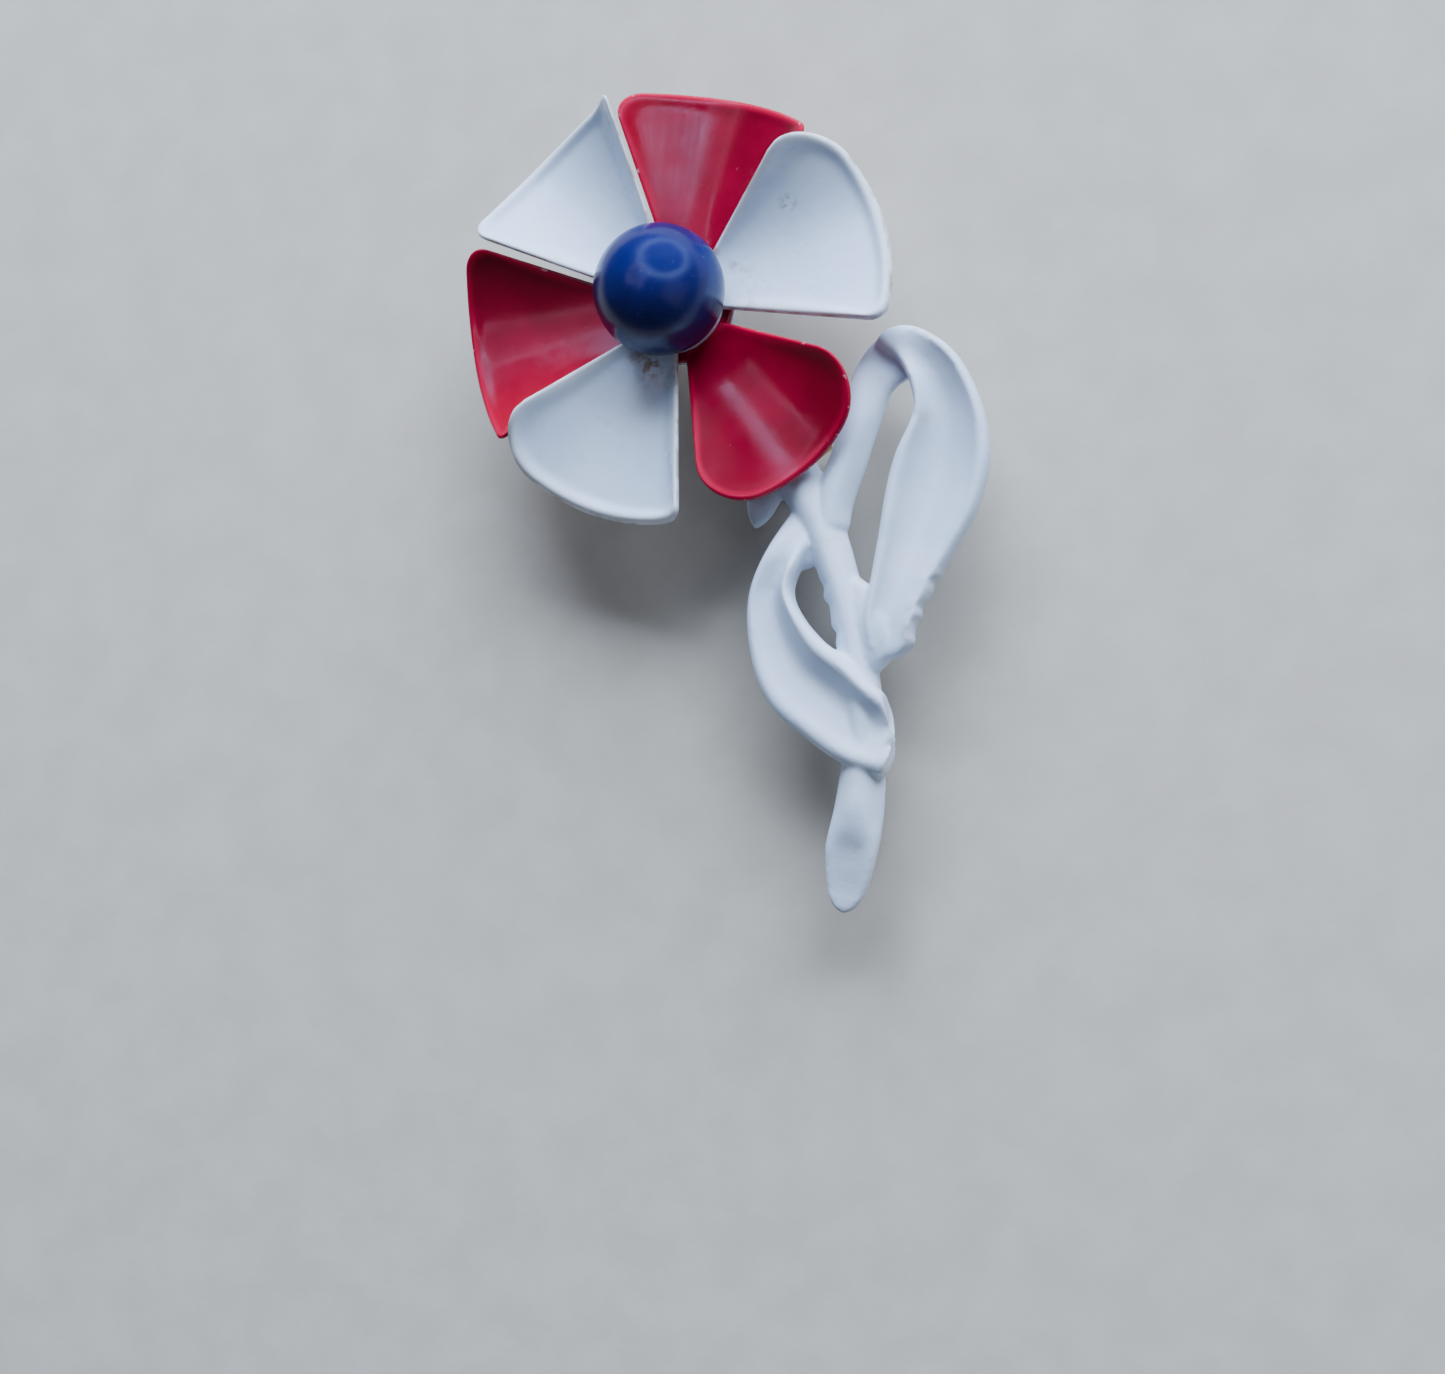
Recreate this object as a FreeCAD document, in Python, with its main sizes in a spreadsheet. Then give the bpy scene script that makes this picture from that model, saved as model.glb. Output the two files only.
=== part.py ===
import FreeCAD
import Part
import Sketcher
from FreeCAD import Placement, Rotation, Vector

import math
import os
from types import SimpleNamespace

# Enamelled flower brooch: three white and three red pressed petals round a blue bead, on a
# white cast stem with two leaves, and a hinged pin with a safety catch on the back.
#
# The brooch lies on its back.  +Z comes out of the front, +Y runs from the foot of the stem to
# the flower, +X is to the right seen from the front.  The pieces are drawn about the flower's
# own axis, with z = 0 on the front face of the casting's pad; the pin gear is drawn along its
# bar and turned to lie behind the stem.  The origin is under the middle of the brooch.

SIZES = {
    # where the flower's axis lies in the finished brooch, worked out at the end
    "origin_x": 0.0,
    "origin_y": 0.0,
    "origin_z": 0.0,
    # pressed petals
    "petal_radius": 22.0,
    "petal_half_angle": 27.5,
    "petal_depth": 5.6,
    "petal_corner": 3.2,
    "petal_trim": 3.0,
    "petal_dip": 0.15,
    "root_gap": 0.1,
    "sheet": 0.9,
    "red_rise": 1.5,
    "white_rise": 0.8,
    # bead
    "bead_radius": 6.6,
    "bead_lift": 4.5,
    "bead_wall": 0.6,
    "bead_floor": 0.7,
    # rivet down the middle of the flower
    "rivet_radius": 1.0,
    "rivet_gap": 0.1,
    "rivet_head_radius": 2.4,
    "rivet_head": 0.9,
    "washer_radius": 2.1,
    "washer": 0.4,
    "tail_radius": 1.6,
    "tail": 0.7,
    # casting
    "casting": 2.4,
    "pad_radius": 5.4,
    "stem_width": 4.6,
    "right_leaf_width": 9.4,
    "left_leaf_width": 8.6,
    "spur": 1.5,
    # pin gear, along its bar from the flower's axis
    "bar_turn": -71.0,
    "bar_start": -13.0,
    "bar_end": 21.0,
    "bar_width": 3.6,
    "bar_thick": 0.8,
    "stud_at": 11.0,
    "stud_radius": 0.8,
    "stud_head_radius": 1.3,
    "stud_head": 0.5,
    "hinge_inset": 3.0,
    "hinge_pin_radius": 0.45,
    "eye_radius": 1.4,
    "eye_width": 2.1,
    "eye_play": 0.04,
    "side_play": 0.1,
    "ear": 0.6,
    "bracket": 0.5,
    "pin_radius": 0.45,
    "pin_overrun": 3.5,
    "point": 5.7,
    "pin_swing": 95.0,
    "heel_radius": 0.5,
    "heel_angle": 222.0,
    "heel_gap": 0.02,
    "catch_inset": 3.0,
    "ring_inner": 1.7,
    "ring_wall": 0.5,
    "ring_length": 2.0,
    "barrel_play": 0.05,
    "flange": 0.4,
    "flange_lap": 0.4,
    "flange_gap": 0.1,
    "bore_play": 0.19,
    "slot_play": 0.175,
    "tab_reach": 4.4,
    "tab_width": 1.6,
}

# directions of the petals about the flower's axis, counted from +X in degrees
WHITE_PETALS = [0.5, 117.4, 235.0]
RED_PETALS = [59.0, 177.0, 295.5]

# stations of the casting's limbs: x, y, heading in degrees, share of the limb's width, and the
# heights of the right shoulder, the middle and the left shoulder
TANG = [
    (-4.2, 12.4, -71, 0.80, -1.4, -0.3, -1.4),
    (4.1, -12.0, -71, 0.98, -1.2, -0.2, -1.2),
]
STEM = [
    (4.1, -12.0, -71, 0.98, -1.2, -0.2, -1.2),
    (8.0, -23.5, -76, 1.00, -1.0, 0.1, -1.0),
    (8.8, -31.0, -88, 0.84, -0.8, 0.7, -0.8),
    (8.7, -39.0, -92, 0.80, -0.8, 0.7, -0.8),
    (7.6, -46.5, -103, 0.88, -0.8, 0.7, -0.8),
    (5.9, -52.0, -111, 1.02, -0.8, 0.7, -0.8),
    (3.9, -56.8, -115, 1.12, -0.8, 0.5, -0.8),
    (2.1, -60.6, -116, 0.90, -1.1, -0.5, -1.1),
    (0.9, -63.2, -116, 0.46, -1.6, -1.3, -1.6),
]
STALK = [
    (8.9, -27.4, 75, 0.80, -0.8, 0.2, -0.8),
    (10.1, -24.2, 62, 0.86, -0.8, 0.3, -0.8),
    (12.4, -20.7, 58, 0.86, -0.8, 0.3, -0.8),
    (14.9, -16.9, 57, 0.84, -0.8, 0.2, -0.8),
    (17.3, -13.3, 50, 0.90, -0.7, 0.0, -0.6),
    (20.2, -11.6, 8, 1.02, -0.4, -0.2, -0.2),
]
RIGHT_LEAF = [
    (20.2, -11.5, -15, 0.49, 0.6, 0.9, 0.8),
    (22.6, -13.6, -60, 0.53, 1.1, 0.8, 1.2),
    (23.6, -18.0, -90, 0.68, 1.2, 0.2, 1.4),
    (22.0, -23.2, -108, 0.99, 1.2, 0.1, 1.5),
    (19.9, -27.1, -120, 1.00, 1.1, 0.1, 1.4),
    (17.4, -30.7, -126, 0.84, 1.0, 0.3, 1.2),
    (14.8, -34.4, -122, 0.62, 0.9, 0.6, 1.0),
    (12.8, -37.6, -112, 0.49, 0.9, 0.7, 0.9),
    (11.9, -41.2, -102, 0.36, 0.7, 0.6, 0.7),
]
LEFT_LEAF = [
    (7.2, -25.6, -140, 0.32, 0.4, 0.6, 0.6),
    (4.1, -28.2, -130, 0.40, 0.6, 0.8, 1.1),
    (2.1, -31.3, -105, 0.53, 0.8, 0.5, 1.6),
    (1.8, -35.4, -85, 0.73, 0.9, 0.4, 1.9),
    (2.6, -39.5, -58, 0.94, 1.1, 0.6, 2.1),
    (5.1, -43.2, -47, 1.00, 1.3, 0.8, 2.1),
    (7.6, -46.5, -33, 0.96, 1.4, 1.0, 2.0),
    (10.2, -48.6, -12, 0.91, 1.3, 1.0, 1.6),
]

doc = FreeCAD.newDocument("flower_brooch")
sheet = doc.addObject("Spreadsheet::Sheet", "sizes")
for row, (name, number) in enumerate(SIZES.items(), start=1):
    sheet.set("A%d" % row, str(number))
    sheet.setAlias("A%d" % row, name)
doc.recompute()


class Size:
    """A number together with the formula that gives it from the sheet."""

    def __init__(self, number, text=None):
        self.number = number
        self.text = text or "(%r)" % number

    def __add__(self, other):
        other = as_size(other)
        return Size(self.number + other.number, "(%s + %s)" % (self.text, other.text))

    def __sub__(self, other):
        other = as_size(other)
        return Size(self.number - other.number, "(%s - %s)" % (self.text, other.text))

    def __mul__(self, other):
        other = as_size(other)
        return Size(self.number * other.number, "(%s * %s)" % (self.text, other.text))

    def __truediv__(self, other):
        other = as_size(other)
        return Size(self.number / other.number, "(%s / %s)" % (self.text, other.text))

    def __neg__(self):
        return Size(-self.number, "(-1 * %s)" % self.text)


def as_size(thing):
    return thing if isinstance(thing, Size) else Size(thing)


def cosine(angle):
    angle = as_size(angle)
    return Size(math.cos(math.radians(angle.number)), "cos(%s)" % angle.text)


def sine(angle):
    angle = as_size(angle)
    return Size(math.sin(math.radians(angle.number)), "sin(%s)" % angle.text)


def tangent(angle):
    return Size(math.tan(math.radians(angle.number)), "tan(%s)" % angle.text)


def arcsine(share):
    return Size(math.degrees(math.asin(share.number)), "(asin(%s) / 1 deg)" % share.text)


def root(square):
    return Size(math.sqrt(square.number), "sqrt(%s)" % square.text)


s = SimpleNamespace(**{name: Size(number, "sizes." + name) for name, number in SIZES.items()})


def bind(thing, **sizes):
    """Tie properties to the sheet; Placement_Base_x stands for Placement.Base.x."""
    for name, size in sizes.items():
        thing.setExpression(name.replace("_", "."), as_size(size).text)
    return thing


def seat(thing, label, turn=Size(0.0)):
    """Name a finished sub-part and put it in its place in the brooch."""
    thing.Label = label
    return bind(
        thing,
        Placement_Base_x=s.origin_x,
        Placement_Base_y=s.origin_y,
        Placement_Base_z=s.origin_z,
        Placement_Rotation_Angle=turn,
    )


def box(name, x, y, z):
    """A block between two sizes along each axis."""
    block = doc.addObject("Part::Box", name)
    for axis, side, (low, high) in zip("xyz", ("Length", "Width", "Height"), (x, y, z)):
        bind(block, **{side: as_size(high) - low, "Placement_Base_" + axis: low})
    return block


def rod(name, axis, ends, centre, radius):
    """A round bar along an axis from one size to another, its centre given in the other two."""
    bar = doc.addObject("Part::Cylinder", name)
    turns = {"x": Rotation(0, 90, 0), "y": Rotation(0, 0, -90), "z": Rotation()}
    bar.Placement = Placement(Vector(), turns[axis])
    bind(bar, Radius=radius, Height=as_size(ends[1]) - ends[0])
    bind(bar, **{"Placement_Base_" + axis: ends[0]})
    others = [other for other in "xyz" if other != axis]
    bind(bar, **{"Placement_Base_" + other: place for other, place in zip(others, centre)})
    return bar


def fuse(name, *things):
    joined = doc.addObject("Part::MultiFuse", name)
    joined.Shapes = list(things)
    joined.Refine = True
    return joined


def cut(name, base, *tools):
    made = doc.addObject("Part::Cut", name)
    made.Base = base
    made.Tool = tools[0] if len(tools) == 1 else fuse(name + "_tools", *tools)
    return made


def sketch_on(body, name, offset=Placement()):
    plane = next(f for f in body.Origin.OriginFeatures if f.Role == "XY_Plane")
    sketch = body.newObject("Sketcher::SketchObject", name)
    sketch.AttachmentSupport = [(plane, "")]
    sketch.MapMode = "FlatFace"
    sketch.AttachmentOffset = offset
    return sketch


def hold(sketch, size, *constraint):
    """Add a constraint whose value comes from the sheet."""
    size = as_size(size)
    index = sketch.addConstraint(Sketcher.Constraint(*constraint, size.number))
    sketch.setExpression("Constraints[%d]" % index, size.text)


def circle_in(sketch, radius, x=None, y=None):
    """A circle about the sketch's origin, or about a point given by two sizes."""
    centre = Vector(x.number, y.number, 0) if x else Vector()
    ring = sketch.addGeometry(Part.Circle(centre, Vector(0, 0, 1), radius.number))
    hold(sketch, radius, "Radius", ring)
    if x:
        hold(sketch, x, "DistanceX", -1, 1, ring, 3)
        hold(sketch, y, "DistanceY", -1, 1, ring, 3)
    else:
        sketch.addConstraint(Sketcher.Constraint("Coincident", ring, 3, -1, 1))


def polygon_in(sketch, points):
    """A closed outline through corners given by pairs of sizes."""
    corners = [(as_size(x), as_size(y)) for x, y in points]
    for here, there in zip(corners, corners[1:] + corners[:1]):
        ends = [Vector(x.number, y.number, 0) for x, y in (here, there)]
        sketch.addGeometry(Part.LineSegment(*ends))
    for count, (x, y) in enumerate(corners):
        last = (count - 1) % len(corners)
        sketch.addConstraint(Sketcher.Constraint("Coincident", last, 2, count, 1))
        hold(sketch, x, "DistanceX", -1, 1, count, 1)
        hold(sketch, y, "DistanceY", -1, 1, count, 1)


def pad(body, name, sketch, height):
    made = body.newObject("PartDesign::Pad", name)
    made.Profile = sketch
    return bind(made, Length=height)


def upright(x, y, heading):
    """Stand a sketch across a limb: its x to the right of the heading, its y straight up."""
    turn = math.radians(heading)
    right = Vector(math.sin(turn), -math.cos(turn), 0)
    up = Vector(0, 0, 1)
    return Placement(Vector(x, y, 0), Rotation(right, up, right.cross(up), "XYZ"))


def arc_in(sketch, first, middle, last):
    """An arc through three points.  A sketch runs every arc anticlockwise, so this also returns
    the numbers of its first and last ends."""
    leftward = (middle - first).cross(last - middle).z > 0
    ends = (first, last) if leftward else (last, first)
    curve = sketch.addGeometry(Part.Arc(ends[0], middle, ends[1]))
    return (curve, 1, 2) if leftward else (curve, 2, 1)


def line_in(sketch, first, last):
    return sketch.addGeometry(Part.LineSegment(first, last)), 1, 2


def crossing(sketch, width, foot, right, middle, left, hollow=None):
    """A closed section with straight sides and an arc across the top.  Its underside is straight
    or, where hollow gives the height of its middle, an arc."""
    half = width / 2
    a = Vector(-half.number, foot.number, 0)
    b = Vector(half.number, foot.number, 0)
    c = Vector(half.number, right.number, 0)
    d = Vector(-half.number, left.number, 0)
    under = line_in(sketch, a, b) if hollow is None else arc_in(sketch, a, Vector(0, hollow.number, 0), b)
    side = line_in(sketch, b, c)
    over = arc_in(sketch, c, Vector(0, middle.number, 0), d)
    back = line_in(sketch, d, a)
    for here, there in ((under, side), (side, over), (over, back), (back, under)):
        sketch.addConstraint(Sketcher.Constraint("Coincident", here[0], here[2], there[0], there[1]))
    sketch.addConstraint(Sketcher.Constraint("Vertical", side[0]))
    sketch.addConstraint(Sketcher.Constraint("Vertical", back[0]))
    hold(sketch, half, "DistanceX", -1, 1, side[0], 1)
    hold(sketch, half, "DistanceX", back[0], 2, -1, 1)
    hold(sketch, foot, "DistanceY", -1, 1, side[0], 1)
    hold(sketch, foot, "DistanceY", -1, 1, back[0], 2)
    hold(sketch, right - foot, "DistanceY", side[0], 1, side[0], 2)
    hold(sketch, left - foot, "DistanceY", back[0], 2, back[0], 1)
    for arc, height in ((over, middle), (under, hollow)):
        if height is not None:
            crown = sketch.addGeometry(Part.Point(Vector(0, height.number, 0)))
            sketch.addConstraint(Sketcher.Constraint("PointOnObject", crown, 1, -2))
            sketch.addConstraint(Sketcher.Constraint("PointOnObject", crown, 1, arc[0]))
            hold(sketch, height, "DistanceY", -1, 1, crown, 1)


def loft(body, name, sketches, ruled):
    made = body.newObject("PartDesign::AdditiveLoft", name)
    made.Profile = sketches[0]
    made.Sections = sketches[1:]
    made.Ruled = ruled
    made.Refine = False
    return made


def limb(body, name, stations, width, foot, ruled=False):
    """One limb of the casting, lofted through its stations."""
    sketches = []
    for count, (x, y, heading, share, *heights) in enumerate(stations):
        sketch = sketch_on(body, "%s_%d" % (name, count), offset=upright(x, y, heading))
        crossing(sketch, width * share, foot, *[as_size(height) for height in heights])
        sketches.append(sketch)
    return loft(body, name, sketches, ruled)


def rounded_sector(name, direction, reach, half_angle, corner):
    """A tall fan about the flower's axis with rounded outer corners: a wide sector that stops
    where its corners start to turn, a narrow one to the rim, and a round at each corner."""
    spread = half_angle - arcsine(corner / (reach - corner))
    side = root((reach - corner) * (reach - corner) - corner * corner)
    pieces = []
    for count, (radius, half) in enumerate(((side, half_angle), (reach, spread))):
        fan = rod("%s_fan_%d" % (name, count), "z", (-10.0, 20.0), (0.0, 0.0), radius)
        pieces.append(bind(fan, Angle=half * 2, Placement_Rotation_Angle=as_size(direction) - half))
    for count, turn in enumerate((as_size(direction) - spread, as_size(direction) + spread)):
        centre = ((reach - corner) * cosine(turn), (reach - corner) * sine(turn))
        pieces.append(rod("%s_round_%d" % (name, count), "z", (-10.0, 20.0), centre, corner))
    return fuse(name, *pieces)


def trough(name, direction, floor, start, rise):
    """A petal's sheet before its outline is trimmed: straight along the petal, hollow across it,
    and deepening from the hub to beyond the rim."""
    ends = []
    for end, reach, depth, lift in (
        ("root", start, s.petal_dip, 0.0),
        ("rim", s.petal_radius + 1.0, s.petal_depth, rise),
    ):
        along, across = reach * cosine(direction), reach * sine(direction)
        sketch = doc.addObject("Sketcher::SketchObject", "%s_%s" % (name, end))
        sketch.Placement = upright(along.number, across.number, direction)
        bind(sketch, Placement_Base_x=along, Placement_Base_y=across)
        low = floor + lift
        edge = low + depth
        width = reach * tangent(s.petal_half_angle + s.petal_trim) * 2
        crossing(sketch, width, edge, edge + s.sheet, low + s.sheet, edge + s.sheet, hollow=low)
        ends.append(sketch)
    made = doc.addObject("Part::Loft", name)
    made.Sections = ends
    made.Solid = True
    made.Ruled = True
    return made


def petals(label, directions, floor, start, rise):
    """Three petals pressed from one flat blank, which bends up where its round flat hub ends;
    the hub has a rivet hole."""
    hub_radius = start / cosine(s.petal_half_angle + s.petal_trim)
    pieces = [rod(label + "_hub", "z", (floor, floor + s.sheet), (0.0, 0.0), hub_radius)]
    for count, direction in enumerate(directions):
        name = "%s_%d" % (label, count)
        petal = doc.addObject("Part::Common", name)
        petal.Base = trough(name + "_trough", direction, floor, start, rise)
        petal.Tool = rounded_sector(
            name + "_outline", direction, s.petal_radius, s.petal_half_angle, s.petal_corner
        )
        pieces.append(petal)
    hole = rod(label + "_hole", "z", (-10.0, 20.0), (0.0, 0.0), s.rivet_radius + s.rivet_gap)
    return seat(cut(label, fuse(label + "_blank", *pieces), hole), label)


# The white blank lies flat under the bead's open rim, and the red blank under the white hub.
bead_rim = root(s.bead_radius * s.bead_radius - s.bead_lift * s.bead_lift)
white_start = bead_rim + s.root_gap
red_start = white_start / cosine(s.petal_half_angle + s.petal_trim) + s.root_gap
red_petals = petals("red_petals", RED_PETALS, as_size(0.0), red_start, s.red_rise)
white_petals = petals("white_petals", WHITE_PETALS, s.sheet, white_start, s.white_rise)


def ball(name, radius, centre_z):
    return bind(doc.addObject("Part::Sphere", name), Radius=radius, Placement_Base_z=centre_z)


# The bead: a drawn shell open below, and a floor pressed into it over the rivet's shank.
seat_z = s.sheet * 2
bead_z = seat_z + s.bead_lift
floor_z = seat_z + s.bead_floor
far = s.bead_radius * 2

ball_outer = ball("ball_outer", s.bead_radius, bead_z)
ball_inner = ball("ball_inner", s.bead_radius - s.bead_wall, bead_z)
below_bead = box("below_bead", (-far, far), (-far, far), (seat_z - far, seat_z))
centre_bead = seat(cut("bead_shell", ball_outer, ball_inner, below_bead), "centre_bead")

floor_ball = ball("floor_ball", s.bead_radius - s.bead_wall, bead_z)
floor_slab = box("floor_slab", (-far, far), (-far, far), (seat_z, floor_z))
floor_disc = doc.addObject("Part::Common", "floor_disc")
floor_disc.Base = floor_ball
floor_disc.Tool = floor_slab
floor_hole = rod("floor_hole", "z", (-10.0, 20.0), (0.0, 0.0), s.rivet_radius + s.rivet_gap)
bead_floor = seat(cut("bead_floor_punched", floor_disc, floor_hole), "bead_floor")

# The rivet holds the floor, both petal blanks, the casting and the bar; its tail is closed over
# a washer.
bar_back = -(s.casting + s.bar_thick)
washer_back = bar_back - s.washer
rivet_head = rod("rivet_head", "z", (floor_z, floor_z + s.rivet_head), (0.0, 0.0), s.rivet_head_radius)
rivet_shank = rod("rivet_shank", "z", (washer_back, floor_z), (0.0, 0.0), s.rivet_radius)
rivet_tail = rod("rivet_tail", "z", (washer_back - s.tail, washer_back), (0.0, 0.0), s.tail_radius)
centre_rivet = seat(fuse("rivet", rivet_head, rivet_shank, rivet_tail), "centre_rivet")

washer_disc = rod("washer_disc", "z", (washer_back, bar_back), (0.0, 0.0), s.washer_radius)
washer_hole = rod("washer_hole", "z", (-10.0, 20.0), (0.0, 0.0), s.rivet_radius + s.rivet_gap)
rivet_washer = seat(cut("washer_punched", washer_disc, washer_hole), "rivet_washer")

# The casting: a pad under the flower, the stem, a stalk that folds over into the right leaf, the
# left leaf across the stem, a spur, and a stud that is closed over the bar.
casting = doc.addObject("PartDesign::Body", "casting_body")
pad_sketch = sketch_on(casting, "pad_outline")
bind(pad_sketch, AttachmentOffset_Base_z=-s.casting)
circle_in(pad_sketch, s.pad_radius)
pad(casting, "pad", pad_sketch, s.casting)
foot = -s.casting
limb(casting, "tang", TANG, s.stem_width, foot, ruled=True)
limb(casting, "stem", STEM, s.stem_width, foot)
limb(casting, "stalk", STALK, s.stem_width, foot + 0.2)
limb(casting, "right_leaf", RIGHT_LEAF, s.right_leaf_width, foot + 0.7)
limb(casting, "left_leaf", LEFT_LEAF, s.left_leaf_width, foot + 0.3)
spur_sketch = sketch_on(casting, "spur_outline")
bind(spur_sketch, AttachmentOffset_Base_z=-s.casting)
polygon_in(spur_sketch, [(3.6, -15.5), (2.2, -24.6), (6.4, -21.6)])
pad(casting, "spur", spur_sketch, s.spur)
stud_x = s.stud_at * cosine(s.bar_turn)
stud_y = s.stud_at * sine(s.bar_turn)
stud_sketch = sketch_on(casting, "stud_outline")
bind(stud_sketch, AttachmentOffset_Base_z=-(s.casting + s.bar_thick))
circle_in(stud_sketch, s.stud_radius, stud_x, stud_y)
pad(casting, "stud", stud_sketch, s.bar_thick + 0.4)
head_sketch = sketch_on(casting, "stud_head_outline")
bind(head_sketch, AttachmentOffset_Base_z=-(s.casting + s.bar_thick + s.stud_head))
circle_in(head_sketch, s.stud_head_radius, stud_x, stud_y)
pad(casting, "stud_head", head_sketch, s.stud_head)
rivet_sketch = sketch_on(casting, "rivet_hole_outline")
circle_in(rivet_sketch, s.rivet_radius + s.rivet_gap)
rivet_hole = casting.newObject("PartDesign::Pocket", "rivet_hole")
rivet_hole.Profile = rivet_sketch
rivet_hole.Type = "ThroughAll"
rivet_hole.Midplane = True
casting.Tip = rivet_hole
stem_casting = seat(casting, "stem_casting")

# The pin gear is drawn with x along the bar towards the catch.
half_bar = s.bar_width / 2
round_places = (s.bar_start + half_bar, s.bar_end - half_bar)
flat_part = box("bar_flat", round_places, (-half_bar, half_bar), (bar_back, foot))
bar_ends = [
    rod("bar_end_%d" % count, "z", (bar_back, foot), (place, 0.0), half_bar)
    for count, place in enumerate(round_places)
]
bar_blank = fuse("bar_blank", flat_part, *bar_ends)
bar_rivet_hole = rod("bar_rivet_hole", "z", (-10.0, 20.0), (0.0, 0.0), s.rivet_radius + s.rivet_gap)
bar_stud_hole = rod("bar_stud_hole", "z", (-10.0, 20.0), (s.stud_at, 0.0), s.stud_radius)
pin_bar = seat(cut("bar_punched", bar_blank, bar_rivet_hole, bar_stud_hole), "pin_bar", s.bar_turn)

# The pin's axis runs behind the bar at the height that lets the catch's flanges turn.
pivot_at = s.bar_start + s.hinge_inset
catch_at = s.bar_end - s.catch_inset
flange_radius = s.ring_inner + s.flange_lap
bracket_back = bar_back - s.bracket
pivot_z = bracket_back - s.flange_gap - flange_radius

# Hinge: a bracket with two ears, a hinge pin, and the pin with its eye and heel.
gap_half = s.eye_width / 2 + s.side_play
ear_out = gap_half + s.ear
bracket_plate = box(
    "bracket_plate",
    (pivot_at - s.eye_radius - 0.6, pivot_at + s.eye_radius + 0.6),
    (-ear_out, ear_out),
    (bracket_back, bar_back),
)
ears = []
for side, (near, out) in (("left", (gap_half, ear_out)), ("right", (-ear_out, -gap_half))):
    ears.append(rod("ear_round_" + side, "y", (near, out), (pivot_at, pivot_z), s.eye_radius))
    ears.append(
        box(
            "ear_web_" + side,
            (pivot_at - s.eye_radius, pivot_at + s.eye_radius),
            (near, out),
            (pivot_z, bracket_back),
        )
    )
bracket_blank = fuse("bracket_blank", bracket_plate, *ears)
ear_hole = rod("ear_hole", "y", (-10.0, 10.0), (pivot_at, pivot_z), s.hinge_pin_radius)
hinge_bracket = seat(cut("bracket_drilled", bracket_blank, ear_hole), "hinge_bracket", s.bar_turn)

hinge_rod = rod("hinge_rod", "y", (-ear_out, ear_out), (pivot_at, pivot_z), s.hinge_pin_radius)
rod_heads = [
    rod("rod_head_" + side, "y", ends, (pivot_at, pivot_z), s.hinge_pin_radius + 0.2)
    for side, ends in (("left", (ear_out, ear_out + 0.25)), ("right", (-ear_out - 0.25, -ear_out)))
]
hinge_pin = seat(fuse("hinge_pin_whole", hinge_rod, *rod_heads), "hinge_pin", s.bar_turn)

# The heel meets the bracket when the pin is swung fully open.
heel_meets = s.heel_angle - s.pin_swing
heel_room = bracket_back - pivot_z - s.heel_gap + s.heel_radius * cosine(heel_meets)
eye_half = s.eye_width / 2
eye = rod("eye", "y", (-eye_half, eye_half), (pivot_at, pivot_z), s.eye_radius)
heel = doc.addObject("Part::Cylinder", "heel")
heel.Placement = Placement(Vector(), Rotation(Vector(0, 1, 0), 90))
bind(
    heel,
    Radius=s.heel_radius,
    Height=heel_room / sine(heel_meets),
    Placement_Base_x=pivot_at,
    Placement_Base_z=pivot_z,
    Placement_Rotation_Angle=as_size(90.0) - s.heel_angle,
)
point_start = catch_at + s.pin_overrun - s.point
shaft_start = pivot_at + s.eye_radius / 2
shaft = rod("shaft", "x", (shaft_start, point_start), (0.0, pivot_z), s.pin_radius)
point = doc.addObject("Part::Cone", "point")
point.Placement = Placement(Vector(), Rotation(0, 90, 0))
bind(
    point,
    Radius1=s.pin_radius,
    Radius2=s.pin_radius / 6,
    Height=s.point,
    Placement_Base_x=point_start,
    Placement_Base_z=pivot_z,
)
eye_hole = rod("eye_hole", "y", (-10.0, 10.0), (pivot_at, pivot_z), s.hinge_pin_radius + s.eye_play)
pin_whole = fuse("pin_whole", eye, heel, shaft, point)
pin_stem = seat(cut("pin_drilled", pin_whole, eye_hole), "pin_stem", s.bar_turn)

# Catch: a split ring on a foot, and inside it a split barrel with a flange at each end and a
# thumb tab.  The barrel is drawn with its slot in line with the ring's.
ring_half = s.ring_length / 2
ring_outer = s.ring_inner + s.ring_wall
bore_radius = s.pin_radius + s.bore_play
slot_half = s.pin_radius + s.slot_play
below = pivot_z - ring_outer - 1.0
ring_ends = (catch_at - ring_half, catch_at + ring_half)
ring_solid = rod("ring_solid", "x", ring_ends, (0.0, pivot_z), ring_outer)
ring_neck = box("ring_neck", ring_ends, (-ring_outer / 2, ring_outer / 2), (pivot_z, bracket_back))
ring_foot = box(
    "ring_foot",
    (catch_at - ring_half - 0.4, catch_at + ring_half + 0.4),
    (-half_bar + 0.1, half_bar - 0.1),
    (bracket_back, bar_back),
)
ring_bore = rod("ring_bore", "x", (0.0, 40.0), (0.0, pivot_z), s.ring_inner)
ring_slot = box("ring_slot", (0.0, 40.0), (-slot_half, slot_half), (below, pivot_z))
ring_blank = fuse("ring_blank", ring_solid, ring_neck, ring_foot)
catch_ring = seat(cut("ring_cut", ring_blank, ring_bore, ring_slot), "catch_ring", s.bar_turn)

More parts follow.
